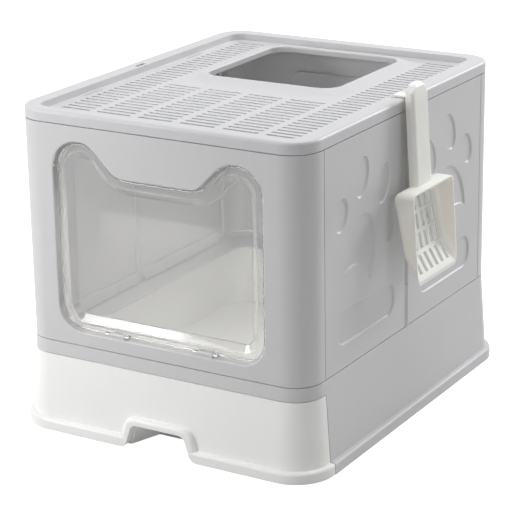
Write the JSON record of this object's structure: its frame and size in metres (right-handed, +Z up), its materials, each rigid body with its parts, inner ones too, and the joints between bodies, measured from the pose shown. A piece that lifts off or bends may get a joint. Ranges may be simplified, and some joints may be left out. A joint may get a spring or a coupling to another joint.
{
  "type": "covered litter box",
  "caption": "Covered cat litter box with a slide-out tray, folding hinged walls, clear drop-down door, vented top-entry lid and a hanging scoop.",
  "frame": {"origin": "on the floor below the middle of the box", "axes": "+X to the box's right, seen from its door; +Y from the door to the rear wall; +Z up"},
  "size_m": [0.4325, 0.497, 0.403],
  "materials": {
    "wall_plastic": "satin moulded",
    "base_plastic": "satin moulded",
    "lid_plastic": "satin moulded",
    "drawer_plastic": "satin moulded",
    "scoop_plastic": "satin moulded",
    "clear_plastic": "clear polished",
    "pin_plastic": "moulded rod",
    "pin_steel": "drawn wire"
  },
  "bodies": {
    "base": {"base_housing": "base_plastic"},
    "drawer": {"drawer": "drawer_plastic"},
    "rear_wall": {"rear_wall": "wall_plastic", "rear_left_pin": "pin_plastic", "rear_right_pin": "pin_plastic"},
    "right_rear": {"right_rear_panel": "wall_plastic"},
    "right_front": {"right_front_panel": "wall_plastic", "side_right_pin": "pin_plastic"},
    "left_rear": {"left_rear_panel": "wall_plastic"},
    "left_front": {"left_front_panel": "wall_plastic", "side_left_pin": "pin_plastic"},
    "front_wall": {"front_wall": "wall_plastic", "front_left_pin": "pin_plastic", "front_right_pin": "pin_plastic", "door_hinge_pins": "pin_steel"},
    "door": {"door": "clear_plastic"},
    "lid": {"lid": "lid_plastic"},
    "scoop": {"scoop": "scoop_plastic"}
  },
  "joints": [
    {"name": "drawer_slide", "type": "slide", "parent": "base", "child": "drawer", "axis": [0, 1, 0], "range_m": [-0.38, 0]},
    {"name": "sleeve_lift", "type": "slide", "parent": "base", "child": "rear_wall", "axis": [0, 0, 1], "range_m": [0, 0.3]},
    {"name": "lid_lift", "type": "slide", "parent": "rear_wall", "child": "lid", "axis": [0, 0, 1], "range_m": [0, 0.2]},
    {"name": "scoop_lift", "type": "slide", "parent": "lid", "child": "scoop", "axis": [0, 0, 1], "range_m": [0, 0.12]},
    {"name": "wall_fold", "type": "hinge", "parent": "rear_wall", "child": "right_rear", "pos_m": [0.1836, 0.196, 0.24], "axis": [0, 0, 1], "range_deg": [-66, 0]},
    {"name": "right_side_fold", "type": "hinge", "parent": "right_rear", "child": "right_front", "pos_m": [0.189, 0, 0.24], "axis": [0, 0, 1], "range_deg": [0, 132]},
    {"name": "left_rear_fold", "type": "hinge", "parent": "rear_wall", "child": "left_rear", "pos_m": [-0.1836, 0.196, 0.24], "axis": [0, 0, 1], "range_deg": [0, 66]},
    {"name": "left_side_fold", "type": "hinge", "parent": "left_rear", "child": "left_front", "pos_m": [-0.189, 0, 0.24], "axis": [0, 0, 1], "range_deg": [-132, 0]},
    {"name": "front_fold", "type": "hinge", "parent": "left_front", "child": "front_wall", "pos_m": [-0.1836, -0.196, 0.24], "axis": [0, 0, 1], "range_deg": [0, 66]},
    {"name": "door_swing", "type": "hinge", "parent": "front_wall", "child": "door", "pos_m": [0, -0.2336, 0.1301], "axis": [1, 0, 0], "range_deg": [0, 110]}
  ],
  "couplings": [
    {"joint": "right_side_fold", "follows": "wall_fold", "ratio": -2},
    {"joint": "left_rear_fold", "follows": "wall_fold", "ratio": -1},
    {"joint": "left_side_fold", "follows": "wall_fold", "ratio": 2},
    {"joint": "front_fold", "follows": "wall_fold", "ratio": -1}
  ]
}
